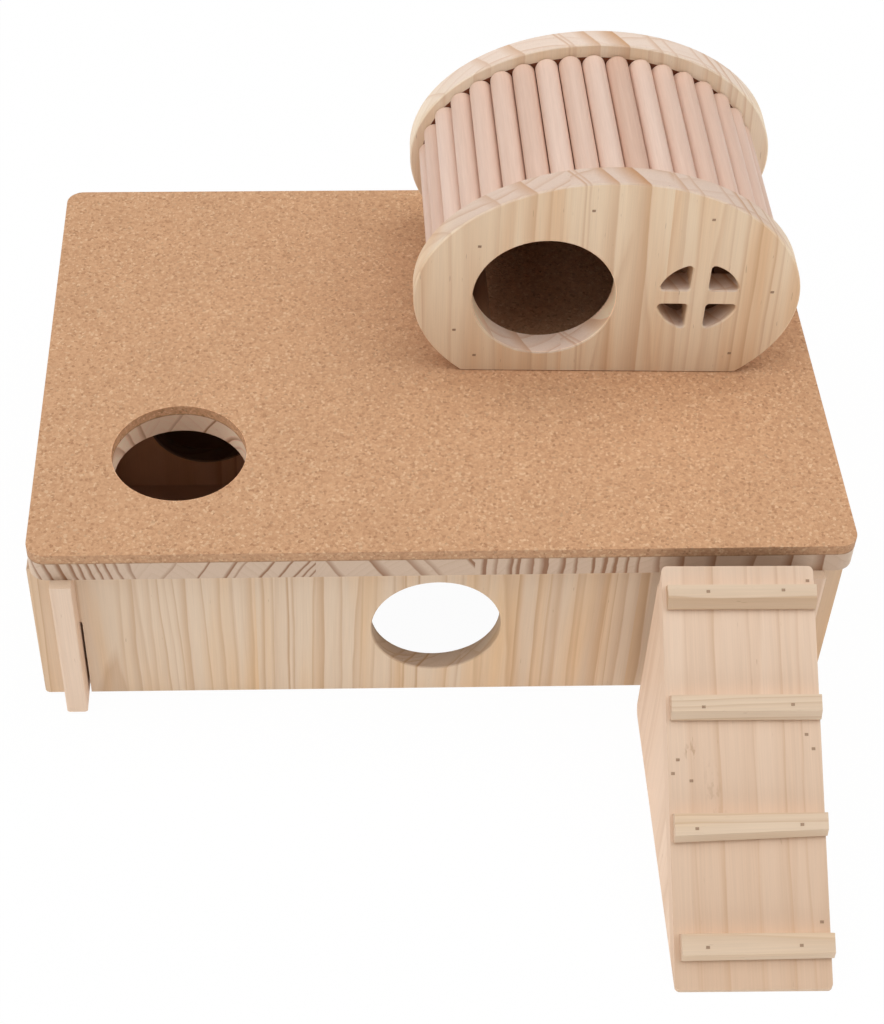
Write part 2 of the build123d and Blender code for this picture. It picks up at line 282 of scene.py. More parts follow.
def ring_place(tree, board, heart):
    """How far across the board's face the marked ring that runs through a place comes out."""
    parts = add_node(tree, "ShaderNodeSeparateXYZ", {0: board}).outputs
    lean = add_node(tree, "ShaderNodeSeparateXYZ", {0: heart}).outputs[2]
    wander = noise(tree, board, (26, 26, 110), 4.0)
    place = add_node(tree, "ShaderNodeMath", {0: wander, 1: WANDER, 2: parts[0]},
                     operation="MULTIPLY_ADD").outputs[0]
    place = add_node(tree, "ShaderNodeMath", {0: place, 1: WANDER / 2}, operation="SUBTRACT").outputs[0]
    leant = add_node(tree, "ShaderNodeMath", {0: lean, 1: parts[1]}, operation="MULTIPLY").outputs[0]
    return add_node(tree, "ShaderNodeMath", {0: place, 1: leant}, operation="SUBTRACT").outputs[0]


def sawn_ends(tree, normal, turn):
    """1 on a board's sawn ends, 0 on its faces."""
    grain_axis = Vector((0, 0, 1))
    grain_axis.rotate(turn)
    facing = add_node(tree, "ShaderNodeVectorMath", {0: normal, 1: grain_axis},
                      operation="DOT_PRODUCT").outputs["Value"]
    facing = add_node(tree, "ShaderNodeMath", {0: facing}, operation="ABSOLUTE").outputs[0]
    return add_node(tree, "ShaderNodeMapRange", {0: facing, 1: 0.35, 2: 0.9},
                    interpolation_type="SMOOTHSTEP").outputs[0]


def warm_streaks(tree, stave_place, along, painted_fade):
    """Streaks of warmer wood, and the fade along the grain where there is one, which is painted shade."""
    warm = noise(tree, stave_place, (14, 14, 220))
    warm = add_node(tree, "ShaderNodeMapRange", {0: warm, 1: 0.46, 2: 0.72, 4: 0.8}).outputs[0]
    if painted_fade is None:
        return warm
    faded = add_node(tree, "ShaderNodeMapRange", {
        0: along, 1: painted_fade[0], 2: painted_fade[1], 3: 1.0, 4: 0.0,
    }).outputs[0]
    warm = add_node(tree, "ShaderNodeMath", {0: warm, 1: 0.4}, operation="MULTIPLY").outputs[0]
    return add_node(tree, "ShaderNodeMath", {0: faded, 1: 0.75, 2: warm}, operation="MULTIPLY_ADD",
                    use_clamp=True).outputs[0]


def dark_ticks(tree, board, scars):
    """Resin ducts, as short dark ticks along the grain, and the torn places."""
    dark = noise(tree, board, (1.0, 1.0, 8), 1.0)
    dark = add_node(tree, "ShaderNodeMapRange", {0: dark, 1: 0.75, 2: 0.81, 4: 0.35}).outputs[0]
    for middle_x, middle_z, half_x, half_z, depth in scars:
        torn = noise(tree, board, (1.6, 1.6, 4))
        torn = add_node(tree, "ShaderNodeMapRange", {0: torn, 1: 0.5, 2: 0.62, 4: depth}).outputs[0]
        away = reach(tree, board, (middle_x, 0, middle_z), (half_x, 0, half_z))
        near = add_node(tree, "ShaderNodeMapRange", {0: away, 1: 1.0, 2: 0.6}).outputs[0]
        dark = add_node(tree, "ShaderNodeMath", {0: torn, 1: near, 2: dark}, operation="MULTIPLY_ADD",
                        use_clamp=True).outputs[0]
    return dark


def paint_light_and_shade_in_hollow(tree, coords, base, inward, middle, half, tint):
    """The wood's colour, with one hollow's painted shade or painted light, its tint, multiplied onto it."""
    closed = in_oval(tree, coords.outputs["Object"], middle, half)
    if inward is not None:
        looks_in = add_node(tree, "ShaderNodeVectorMath", {0: coords.outputs["Normal"], 1: inward},
                            operation="DOT_PRODUCT").outputs["Value"]
        looks_in = add_node(tree, "ShaderNodeMath", {0: looks_in, 1: 0.9},
                            operation="GREATER_THAN").outputs[0]
        closed = add_node(tree, "ShaderNodeMath", {0: closed, 1: looks_in},
                          operation="MULTIPLY").outputs[0]
    tinted = add_node(tree, "ShaderNodeVectorMath", {0: base, 1: tint}, operation="MULTIPLY").outputs[0]
    return add_node(tree, "ShaderNodeMix", {0: closed, 6: base, 7: tinted}, data_type="RGBA").outputs[2]


def pine(name, finish, turn, origin, staves, rings=(), scars=(), painted_fade=None, painted_hollows=()):
    """Radiata pine, sawn, planed and sanded, and left bare.

    Its growth rings run round each stave's heart: a pale, wide spring band that darkens to a thin honey
    line.

    turn and origin lay the board's own axes in the house. staves lists, from left to right, where a stave
    starts across the board, where its heart is, across the board and through it, and how far its marked
    rings lean across for each millimetre through. rings lists the marked ones, as marked_rings has them,
    across the board's face. scars are small torn places, each its middle across and along the board, its
    half width and half length, and its strength. fade gives the places along the grain between which the
    wood goes from warm to its own colour: painted shade that makes it warmer and darker towards the first.
    All these lengths are in millimetres.

    hollows give the wood inside a hollow a tint that paints shade or light on it: the way that the tinted
    face looks, or None for every face, the hollow's middle and half size in metres, and the tint, below 1
    for painted shade and above 1 for painted light.
    """
    material, shader = new_material(name)
    tree = material.node_tree
    coords = add_node(tree, "ShaderNodeTexCoord")
    board = add_node(tree, "ShaderNodeMapping", {
        "Vector": coords.outputs["Object"], "Location": origin, "Rotation": turn, "Scale": [MM] * 3,
    }, vector_type="TEXTURE").outputs[0]
    parts = add_node(tree, "ShaderNodeSeparateXYZ", {0: board}).outputs
    heart = stave_hearts(tree, parts[0], staves)
    stave_place = add_node(tree, "ShaderNodeVectorMath", {
        0: heart, 1: [STAVES_APART, STAVES_APART, 0], 2: board,
    }, operation="MULTIPLY_ADD").outputs[0]
    late = growth_rings(tree, finish, board, heart, stave_place)
    if rings:
        marked = marked_rings(tree, ring_place(tree, board, heart), rings)
        late = add_node(tree, "ShaderNodeMath", {0: late, 1: marked}, operation="MAXIMUM").outputs[0]

    # Sawn ends have their own colour, and their rings show more or less than on the face.
    end_grain = sawn_ends(tree, coords.outputs["Normal"], turn)
    boost = add_node(tree, "ShaderNodeMapRange", {0: end_grain, 3: 1.0, 4: finish.end_figure}).outputs[0]
    late = add_node(tree, "ShaderNodeMath", {0: late, 1: boost}, operation="MULTIPLY",
                    use_clamp=True).outputs[0]

    base = opaque(finish.early)
    for amount, tone in (
            (warm_streaks(tree, stave_place, parts[2], painted_fade), finish.warm),
            (end_grain, finish.end),
            (late, finish.late),
            (dark_ticks(tree, board, scars), finish.duct)):
        base = add_node(tree, "ShaderNodeMix", {0: amount, 6: base, 7: opaque(tone)},
                        data_type="RGBA").outputs[2]
    # Painted shade or painted light in the hollows.
    for hollow in painted_hollows:
        base = paint_light_and_shade_in_hollow(tree, coords, base, *hollow)

    # Fibres are drawn a little coarser than they are.
    fibre = noise(tree, board, (0.6, 0.6, 30), 3.0)
    fibre_light = add_node(tree, "ShaderNodeMapRange", {
        0: fibre, 1: 0.3, 2: 0.7, 3: 0.96, 4: 1.03,
    }).outputs[0]
    base = add_node(tree, "ShaderNodeVectorMath", {0: base, 3: fibre_light}, operation="SCALE").outputs[0]
    rough = add_node(tree, "ShaderNodeMapRange", {0: late, 3: 0.64, 4: 0.54}).outputs[0]
    relief = add_node(tree, "ShaderNodeMath", {0: fibre, 1: 0.5, 2: late},
                      operation="MULTIPLY_ADD").outputs[0]
    bump = add_node(tree, "ShaderNodeBump", {"Height": relief, "Strength": 0.25, "Distance": 0.06 * MM})
    tree.links.new(base, shader.inputs["Base Color"])
    tree.links.new(rough, shader.inputs["Roughness"])
    tree.links.new(bump.outputs[0], shader.inputs["Normal"])
    shader.inputs["IOR"].default_value = 1.45
    return material


def cork(name, finish, foot, hatch):
    """Agglomerated cork sheet, granules pressed with glue and sanded: a warm tan fleck with no shine.

    foot is the height of its underside, where a thin dark line is painted as the shadow under its edge.
    hatch is the middle and the half size of its hole, whose rim is painted paler than the outer edge, as
    painted light.
    """
    material, shader = new_material(name)
    tree = material.node_tree
    coords = add_node(tree, "ShaderNodeTexCoord")
    place = add_node(tree, "ShaderNodeMapping", {
        "Vector": coords.outputs["Object"], "Scale": [MM] * 3,
    }, vector_type="TEXTURE").outputs[0]
    granule = add_node(tree, "ShaderNodeTexVoronoi", {"Vector": place, "Scale": MM / finish.granule})
    tone = add_node(tree, "ShaderNodeSeparateColor", {0: granule.outputs["Color"]}).outputs
    dust = add_node(tree, "ShaderNodeTexNoise", {
        "Vector": place, "Scale": 1 / 0.625, "Detail": 3.0, "Roughness": 0.7,
    })
    cloud = add_node(tree, "ShaderNodeTexNoise", {"Vector": place, "Scale": 1 / 30, "Detail": 2.0})
    mixed = add_node(tree, "ShaderNodeMix", {0: 0.6, 2: tone[0], 3: dust.outputs[0]},
                     data_type="FLOAT").outputs[0]
    base = add_node(tree, "ShaderNodeMix", {0: mixed, 6: opaque(finish.dark), 7: opaque(finish.light)},
                    data_type="RGBA").outputs[2]
    # A few granules in a hundred are much paler, and a few are outer bark; dust breaks up their outlines.
    for number, fleck, low, high in ((1, finish.pale, 1.14, 1.26), (2, finish.bark, 1.16, 1.28)):
        broken = add_node(tree, "ShaderNodeMath", {0: dust.outputs[0], 1: 0.6, 2: tone[number]},
                          operation="MULTIPLY_ADD").outputs[0]
        shown = add_node(tree, "ShaderNodeMapRange", {0: broken, 1: low, 2: high, 4: 0.42}).outputs[0]
        base = add_node(tree, "ShaderNodeMix", {0: shown, 6: base, 7: opaque(fleck)},
                        data_type="RGBA").outputs[2]
    cloudy = add_node(tree, "ShaderNodeMapRange", {0: cloud.outputs[0], 3: 0.95, 4: 1.05}).outputs[0]
    # The cut edge is rougher and looks darker than the sanded face.
    facing = add_node(tree, "ShaderNodeSeparateXYZ", {0: coords.outputs["Normal"]}).outputs[2]
    cut = add_node(tree, "ShaderNodeMapRange", {
        0: facing, 1: 0.2, 2: 0.8, 3: finish.edge, 4: 1.0,
    }).outputs[0]
    height = add_node(tree, "ShaderNodeSeparateXYZ", {0: place}).outputs[2]
    # A thin painted shadow line darkens the cork just above its underside.
    glue = add_node(tree, "ShaderNodeMapRange", {
        0: height, 1: foot / MM, 2: foot / MM + SHADOW_LINE_HEIGHT, 3: SHADOW_LINE_SHADE, 4: 1.0,
    }).outputs[0]
    level = add_node(tree, "ShaderNodeMath", {0: cloudy, 1: cut}, operation="MULTIPLY").outputs[0]
    level = add_node(tree, "ShaderNodeMath", {0: level, 1: glue}, operation="MULTIPLY").outputs[0]
    # The hatch's rim in the cork is painted lighter, as painted light.
    rim = in_oval(tree, coords.outputs["Object"], *hatch)
    rim = add_node(tree, "ShaderNodeMapRange", {0: rim, 3: 1.0, 4: finish.rim}).outputs[0]
    level = add_node(tree, "ShaderNodeMath", {0: level, 1: rim}, operation="MULTIPLY").outputs[0]
    base = add_node(tree, "ShaderNodeVectorMath", {0: base, 3: level}, operation="SCALE").outputs[0]
    pits = add_node(tree, "ShaderNodeMath", {0: dust.outputs[0], 1: 0.6, 2: granule.outputs["Distance"]},
                    operation="MULTIPLY_ADD").outputs[0]
    bump = add_node(tree, "ShaderNodeBump", {"Height": pits, "Strength": 0.5, "Distance": 0.25 * MM})
    tree.links.new(base, shader.inputs["Base Color"])
    tree.links.new(bump.outputs[0], shader.inputs["Normal"])
    shader.inputs["Roughness"].default_value = 0.85
    shader.inputs["IOR"].default_value = 1.4
    return material


def dowel(name, finish, blush, middle, half):
    """Birch dowel, turned and sanded: even, fine-grained and pinkish, with faint long streaks.

    Inside the oval that middle and half give, it is painted as dark as the roof's inside, as painted shade.
    """
    material, shader = new_material(name)
    tree = material.node_tree
    coords = add_node(tree, "ShaderNodeTexCoord")
    rod = add_node(tree, "ShaderNodeMapping", {
        "Vector": coords.outputs["Object"], "Rotation": LYING_DEEP, "Scale": [MM] * 3,
    }, vector_type="TEXTURE").outputs[0]
    streak = noise(tree, rod, (1 / 0.55, 1 / 0.55, 70))
    fibre = noise(tree, rod, (1 / 2.2, 1 / 2.2, 12))
    warm = add_node(tree, "ShaderNodeMapRange", {
        0: streak, 1: 0.35, 2: 0.7, 3: blush - 0.12, 4: blush + 0.12,
    }).outputs[0]
    base = add_node(tree, "ShaderNodeMix", {0: warm, 6: opaque(finish.pale), 7: opaque(finish.blush)},
                    data_type="RGBA").outputs[2]
    # Painted shade on the rods' sides inside the roof.
    base = add_node(tree, "ShaderNodeMix", {
        0: in_oval(tree, coords.outputs["Object"], middle, half), 6: base, 7: opaque(finish.inner),
    }, data_type="RGBA").outputs[2]
    light = add_node(tree, "ShaderNodeMapRange", {0: fibre, 1: 0.3, 2: 0.7, 3: 0.965, 4: 1.03}).outputs[0]
    base = add_node(tree, "ShaderNodeVectorMath", {0: base, 3: light}, operation="SCALE").outputs[0]
    bump = add_node(tree, "ShaderNodeBump", {"Height": fibre, "Strength": 0.2, "Distance": 0.05 * MM})
    tree.links.new(base, shader.inputs["Base Color"])
    tree.links.new(bump.outputs[0], shader.inputs["Normal"])
    shader.inputs["Roughness"].default_value = 0.5
    shader.inputs["IOR"].default_value = 1.47
    return material


def brad_wire(name, finish):
    """Galvanised brad wire, dulled and stained brown where it was punched into the wood."""
    material, shader = new_material(name)
    tree = material.node_tree
    coords = add_node(tree, "ShaderNodeTexCoord")
    stain = add_node(tree, "ShaderNodeTexNoise", {
        "Vector": coords.outputs["Object"], "Scale": 1 / (0.8 * MM), "Detail": 2.0,
    }).outputs[0]
    base = add_node(tree, "ShaderNodeMix", {0: stain, 6: opaque(finish.steel), 7: opaque(finish.stain)},
                    data_type="RGBA").outputs[2]
    tree.links.new(base, shader.inputs["Base Color"])
    shader.inputs["Metallic"].default_value = 0.2
    shader.inputs["Roughness"].default_value = 0.5
    return material


# ---- What the user can change ----------------------------------------------------
class HAMSTER_PG_panel_pine(bpy.types.PropertyGroup):
    """Pine of the box's walls and sides."""
    early: colour("Spring Wood", "Pale, wide part of a growth ring", "DFC7AD")
    late: colour("Summer Wood", "Dark, thin part of a growth ring", "B28250")
    warm: colour("Warm Streak", "Wood between the rings where it is yellower", "E0BA8E")
    duct: colour("Resin Duct", "Short dark tick", "8A6743")
    end: colour("End Grain", "Sawn ends", "D2B79E")
    ring: length("Ring Width", "Mean width of a growth ring", 3.4)
    figure: share("Figure", "How strongly the ordinary rings show", 0.48)
    end_figure: factor("End Figure", "How strongly rings show on sawn ends, beside the face", 1.2)


class HAMSTER_PG_partition_shaded_pine(bpy.types.PropertyGroup):
    """Pine of the partition inside the box, painted redder and darker than the walls' pine, as painted
    shade.
    """
    early: colour("Spring Wood", "Pale, wide part of a growth ring", "DDB496")
    late: colour("Summer Wood", "Dark, thin part of a growth ring", "A87552")
    warm: colour("Warm Streak", "Wood between the rings where it is yellower", "CBA07C")
    duct: colour("Resin Duct", "Short dark tick", "8A6743")
    end: colour("End Grain", "Sawn ends", "CDA98C")
    ring: length("Ring Width", "Mean width of a growth ring", 6.0)
    figure: share("Figure", "How strongly the ordinary rings show", 0.8)
    end_figure: factor("End Figure", "How strongly rings show on sawn ends, beside the face", 1.2)
    # Painted shade on the passage's rim.
    rim: factor("Rim", "Brightness of the passage's rim beside the face", 0.35)


class HAMSTER_PG_board_pine(bpy.types.PropertyGroup):
    """Pine of the platform's board."""
    early: colour("Spring Wood", "Pale, wide part of a growth ring", "DCC3AC")
    late: colour("Summer Wood", "Dark, thin part of a growth ring", "936849")
    warm: colour("Warm Streak", "Wood between the rings where it is yellower", "D4B394")
    duct: colour("Resin Duct", "Short dark tick", "7A5741")
    end: colour("End Grain", "Sawn ends", "CDB39C")
    ring: length("Ring Width", "Mean width of a growth ring", 3.6)
    figure: share("Figure", "How strongly the ordinary rings show", 0.10)
    end_figure: factor("End Figure", "How strongly rings show on sawn ends, beside the face", 2.0)
    # Painted light on the hatch's rim.
    rim: factor("Rim", "Brightness of the hatch's rim beside the board's ends", 1.7)


class HAMSTER_PG_plate_pine(bpy.types.PropertyGroup):
    """Pine of the hut's front plate."""
    early: colour("Spring Wood", "Pale, wide part of a growth ring", "F4DDBF")
    late: colour("Summer Wood", "Dark, thin part of a growth ring", "BE8651")
    warm: colour("Warm Streak", "Wood between the rings where it is yellower", "E6BB8E")
    duct: colour("Resin Duct", "Short dark tick", "8A5F3C")
    end: colour("End Grain", "Sawn ends", "DFC7B6")
    ring: length("Ring Width", "Mean width of a growth ring", 4.6)
    figure: share("Figure", "How strongly the ordinary rings show", 0.30)
    end_figure: factor("End Figure", "How strongly rings show on sawn ends, beside the face", 1.7)
    # Painted light on the door's rim.
    rim: factor("Rim", "Brightness of the door's rim beside the plate's edge", 1.32)
    # Painted shade on the plates' faces inside the roof.
    inner: colour("Inner Face", "Tint of the plates' faces inside the roof", "84523E")


class HAMSTER_PG_back_plate_lit_pine(bpy.types.PropertyGroup):
    """Pine of the hut's back plate, painted paler than the front plate's, as painted light."""
    early: colour("Spring Wood", "Pale, wide part of a growth ring", "FBEAD2")
    late: colour("Summer Wood", "Dark, thin part of a growth ring", "CB9663")
    warm: colour("Warm Streak", "Wood between the rings where it is yellower", "F2D6B2")
    duct: colour("Resin Duct", "Short dark tick", "8A5F3C")
    end: colour("End Grain", "Sawn ends", "EFDACA")
    ring: length("Ring Width", "Mean width of a growth ring", 4.6)
    figure: share("Figure", "How strongly the ordinary rings show", 0.30)
    end_figure: factor("End Figure", "How strongly rings show on sawn ends, beside the face", 1.7)
    # Painted shade on the plates' faces inside the roof.
    inner: colour("Inner Face", "Tint of the plates' faces inside the roof", "84523E")


class HAMSTER_PG_ramp_pine(bpy.types.PropertyGroup):
    """Pine of the ramp."""
    early: colour("Spring Wood", "Pale, wide part of a growth ring", "E6CBB3")
    late: colour("Summer Wood", "Dark, thin part of a growth ring", "C0946C")
    warm: colour("Warm Streak", "Wood between the rings where it is pinker", "D0AF92")
    duct: colour("Resin Duct", "Short dark tick", "A07550")
    end: colour("End Grain", "Sawn ends", "D7BDA3")
    ring: length("Ring Width", "Mean width of a growth ring", 7.0)
    figure: share("Figure", "How strongly the ordinary rings show", 0.28)
    end_figure: factor("End Figure", "How strongly rings show on sawn ends, beside the face", 1.0)


class HAMSTER_PG_cork(bpy.types.PropertyGroup):
    """Cork of the platform's top."""
    light: colour("Light Granule", "Palest granules", "E1B48C")
    dark: colour("Dark Granule", "Darkest granules", "B4835F")
    pale: colour("Pale Fleck", "Scattered palest granules", "F0CFA9")
    bark: colour("Bark Fleck", "Flecks of outer bark", "8A5C3A")
    granule: length("Granule", "Mean width of a granule", 1.1)
    edge: share("Cut Edge", "Brightness of the cut edge beside the face", 0.86)
    # Painted light on the hatch's rim.
    rim: factor("Rim", "Brightness of the hatch's rim beside the cut edge", 1.65)


class HAMSTER_PG_dowel(bpy.types.PropertyGroup):
    """Birch of the roof's rods."""
    pale: colour("Pale", "Palest rods", "E9CDBC")
    blush: colour("Blush", "Pinkest rods", "D7B39E")
    rounding: length("Rounding", "How far a rod's end is rounded over", 0.9)
    fullness: length("Fullness", "How much thicker each way a rod is than its plain solid", 0.22)
    # Painted shade on the rods inside the roof.
    inner: colour("Inner Side", "Rods inside the roof", "B08465")
    gap: length("Gap", "How far a rod ends short of the back plate", 0.4)


class HAMSTER_PG_brad(bpy.types.PropertyGroup):
    """Brads."""
    steel: colour("Steel", "Bare wire", "B69A80")
    stain: colour("Stain", "Stained wire", "94735A")


class HAMSTER_PG_stage(bpy.types.PropertyGroup):
    """Floor, light and camera."""
    floor: colour("Floor", "Floor round the house", "FAFAFA")
    ambient: share("Ambient", "Light from all round, 1 being white", 0.23)
    key: share("Key", "Broad light from above and left, 1 being white", 0.42)
    fill: share("Fill", "Broad light from above and right, 1 being white", 0.41)
    side: share("Side", "Low broad light from the left, 1 being white", 0.11)
    bounce: share("Bounce", "Light that the floor throws up beside what falls on it, 1 being white", 0.40)
    shadow: share("Shadow", "How much of the floor's shadow shows", 0.03)
    # Painted shade: the floor under the house gets this darker, warm colour.
    gloom: colour("Gloom", "Floor under the house, in its warm shade", "CBA58C")
    lens: FloatProperty(name="Lens", description="Focal length", subtype="DISTANCE_CAMERA", default=70.857)


class HAMSTER_PG_house(bpy.types.PropertyGroup):
    """All settings of the house."""
    panel_pine: PointerProperty(type=HAMSTER_PG_panel_pine, name="Panel Pine")
    partition_shaded_pine: PointerProperty(type=HAMSTER_PG_partition_shaded_pine, name="Partition Pine")
    board_pine: PointerProperty(type=HAMSTER_PG_board_pine, name="Board Pine")
    plate_pine: PointerProperty(type=HAMSTER_PG_plate_pine, name="Front Plate Pine")
    back_plate_lit_pine: PointerProperty(type=HAMSTER_PG_back_plate_lit_pine, name="Back Plate Pine")
    ramp_pine: PointerProperty(type=HAMSTER_PG_ramp_pine, name="Ramp Pine")
    cork: PointerProperty(type=HAMSTER_PG_cork, name="Cork")
    dowel: PointerProperty(type=HAMSTER_PG_dowel, name="Dowel")
    brad: PointerProperty(type=HAMSTER_PG_brad, name="Brads")
    stage: PointerProperty(type=HAMSTER_PG_stage, name="Stage")


# ---- Operators -------------------------------------------------------------------
def dress(node, material):
    """Gives every slot of a CAD node one material."""
    mesh_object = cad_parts[node]
    if not mesh_object.material_slots:
        mesh_object.data.materials.append(material)
    for material_slot in mesh_object.material_slots:
        material_slot.material = material


def corner(node):
    """A node's lowest corner, where its board's own axes start."""
    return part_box(node)[0]


# Rings that stand out on the boards that are seen most, across each board's face: edge, width, strength.
# The first, at 20 mm beside the leg's slot, is painted shade from the leg.
WALL_RINGS = [
    (20, 5, 0.35), (38, 3, 0.3), (44, 4, 0.5), (51, 3, 0.3), (66.3, 3.5, 0.5), (81.5, 3, 0.4),
    (87, 2, 0.35), (94.5, 4, 0.4), (99, 2, 0.5), (103.2, 1.6, 0.4), (110, 1.2, 0.7), (112.2, 1.2, 0.5),
    (125, 5, 0.55), (133, 2, 0.4), (141.8, 1.6, 0.35), (148, 2, 0.3), (155.8, 1.6, 0.4), (160.8, 1.2, 0.6),
    (166.6, 1.3, 0.7), (185, 1.8, 0.35), (196, 3, 0.25), (210, -3, 0.6), (219, -2.4, 0.55),
    (223.8, -1.8, 0.45), (227.8, -2, 0.45), (235.2, -2.4, 0.4), (248, 8, 0.5), (256.5, 5, 0.4),
    (266, 7, 0.6), (290, 5, 0.4), (318, 6, 0.5),
]
BOARD_RINGS = [
    (5.7, 1.5, 0.5), (10.7, 2, 0.6), (16.3, 2.5, 0.7), (21.3, 2, 0.6), (24.4, 1.5, 0.6), (28.2, 2, 0.6),
    (32, 1.5, 0.6), (36.3, 2, 0.6), (40.7, 1.5, 0.5), (45.8, 2, 0.4), (56.4, 2, 0.3), (71.5, 1.2, 0.6),
    (82.9, 2, 0.6), (86.7, 1.2, 0.4), (98, 1.5, 0.7), (105.6, 1.2, 0.7), (111.9, 1.2, 0.7),
    (115.1, 1, 0.7), (118.2, 1, 0.6), (130.9, -3, 0.4), (149.9, -5, 0.5), (165.2, -5, 0.4),
    (172.8, -3, 0.3), (192.6, 2.4, 0.8), (197, 2, 0.4), (203.5, 3, 0.6), (206.6, 1.8, 0.9),
    (212.7, 4, 0.5), (218.8, 4, 0.8), (226.1, 3, 0.6), (231, 1.8, 0.5), (238.3, 1.4, 0.8),
    (243.2, 2.2, 0.8), (247.5, 2.2, 0.8), (252.4, 1.8, 0.6), (257.4, 1.8, 0.5), (266, 3, 0.4),
    (276, 4, 0.5), (290, 5, 0.5), (306, 6, 0.4), (322, 5, 0.5), (336, 5, 0.5),
]
PLATE_RINGS = [
    (20, 2, 0.25), (41, 5, 0.25), (57, 7, 0.35), (77.4, 1.2, 0.4), (79.4, 1.2, 0.3), (91.5, 7, 0.4),
    (104.5, 10, 0.5), (120.5, 4, 0.3), (127, 2, 0.25), (141, 2, 0.25), (147.5, 2.5, 0.4), (153, 2.5, 0.4),
    (160, 1.5, 0.4), (163.5, 1.2, 0.3),
]
# Torn fibres on the ramp's deck: where, how large and how strong, as pine has its scars.
DECK_SCARS = [(10.5, 97, 3, 5, 0.4), (19, 82, 4, 12, 0.2), (21, 72, 5, 3, 0.15)]
DECK_RINGS = [
    (11, 2, 0.3), (22.6, 3.5, 0.45), (36.8, 2, 0.35), (49.6, 1.6, 0.4), (57, 1.2, 0.3),
]
TOP_CLEAT_RINGS = [(-6.8, -16, 0.45)]

# How pink each of the rods' four tones is, and the rods' tones in their order.
BLUSHES = (0.12, 0.42, 0.6, 0.88)
ROD_TONES = [1, 2, 1, 2, 1, 2, 0, 1, 1, 1, 2, 0, 1, 0, 3, 0, 1, 2, 2, 2, 1, 2, 1, 2, 1, 2, 1]
SHADED_SHARE = 0.6      # how far in from the rods' outer line, in rods, the painted shade on their sides starts


class HAMSTER_OT_finish_box(bpy.types.Operator):
    """Gives the box's walls and sides their pine"""
    bl_idname = "hamster.finish_box"
    bl_label = "Finish Box"

    def execute(self, context):
        house = context.scene.hamster_house
        node = "front_wall"
        dress(node, pine("Pine, front wall", house.panel_pine, UPRIGHT_ACROSS, corner(node), [
            (0, 30, -34, 0.5), (96, 150, 46, 0.7), (187, 215, -30, -0.7), (262, 338, 52, -0.4),
        ], WALL_RINGS))
        node = "inner_partition"
        # The passage's rim is painted darker, as painted shade.
        painted_rim_shade = (None, *PASSAGE, [house.partition_shaded_pine.rim] * 3)
        dress(node, pine("Pine, partition", house.partition_shaded_pine, UPRIGHT_ACROSS, corner(node), [
            (0, 52, 40, 0), (120, 160, -32, 0), (230, 290, 40, 0),
        ], painted_hollows=[painted_rim_shade]))
        node = "back_wall"
        dress(node, pine("Pine, back wall", house.panel_pine, UPRIGHT_ACROSS, corner(node), [
            (0, 30, 36, 0), (110, 170, -40, 0), (240, 280, 30, 0),
        ]))
        for side, hearts in (("left", [(0, 84, -44, 0), (150, 210, 44, 0)]),
                             ("right", [(0, 40, 32, 0), (118, 170, -36, 0)])):
            node = f"{side}_side_panel"
            dress(node, pine(f"Pine, {side} side", house.ramp_pine, UPRIGHT_DEEP, corner(node), hearts))
        return {"FINISHED"}


class HAMSTER_OT_finish_platform(bpy.types.Operator):
    """Gives the platform its pine and its cork"""
    bl_idname = "hamster.finish_platform"
    bl_label = "Finish Platform"

    def execute(self, context):
        house = context.scene.hamster_house
        # The hatch's rim in the board is painted lighter, as painted light.
        painted_rim_light = (None, *HATCH, [house.board_pine.rim] * 3)
        dress("top_board", pine("Pine, board", house.board_pine, LYING_DEEP, corner("top_board"), [
            (0, -40, -46, 0.25), (52, 20, 60, -0.62), (121, 220, 60, 0.65), (188, 300, 60, 0),
        ], BOARD_RINGS, painted_hollows=[painted_rim_light]))
        dress("cork_sheet", cork("Cork, pressed", house.cork, corner("cork_sheet").z, HATCH))
        return {"FINISHED"}


class HAMSTER_OT_finish_hut(bpy.types.Operator):
    """Gives the hut's plates their pine"""
    bl_idname = "hamster.finish_hut"
    bl_label = "Finish Hut"

    def execute(self, context):
        front = context.scene.hamster_house.plate_pine
        back = context.scene.hamster_house.back_plate_lit_pine
        inward = Vector((-math.sin(HUT_TURN), math.cos(HUT_TURN), 0))
        roof = roof_oval(INNER_MARGIN)
        # The plates' faces inside the roof get painted shade, and the door's rim painted light.
        painted_inside_shade = (inward, *roof, front.inner)
        painted_rim_light = (None, *DOOR, [front.rim] * 3)
        node = "hut_front_plate"
        dress(node, pine("Pine, front plate", front, HUT_UPRIGHT, corner(node), [
            (0, 34, 60, -0.6), (68, 96, -60, -0.6), (112, 150, -70, -0.5),
        ], PLATE_RINGS, painted_hollows=[painted_inside_shade, painted_rim_light]))
        painted_inside_shade = (-inward, *roof, back.inner)
        node = "hut_back_plate"
        dress(node, pine("Pine, back plate", back, HUT_UPRIGHT, corner(node), [
            (0, 60, -70, -0.6), (92, 130, -60, -0.6),
        ], PLATE_RINGS, painted_hollows=[painted_inside_shade]))
        return {"FINISHED"}


def roof_oval(margin):
    """The middle of the oval round the rods, and its half width and half height, less a margin."""
    rods = [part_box(f"roof_rod_{count:02d}") for count in range(1, ROD_COUNT + 1)]
    left, right = min(low.x for low, _ in rods), max(high.x for _, high in rods)
    top = max(high.z for _, high in rods)
    middle = Vector(((left + right) / 2, 0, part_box("hut_front_plate")[0].z + RODS_HEIGHT))
    return middle, Vector(((right - left) / 2 - margin, 0, top - middle.z - margin))


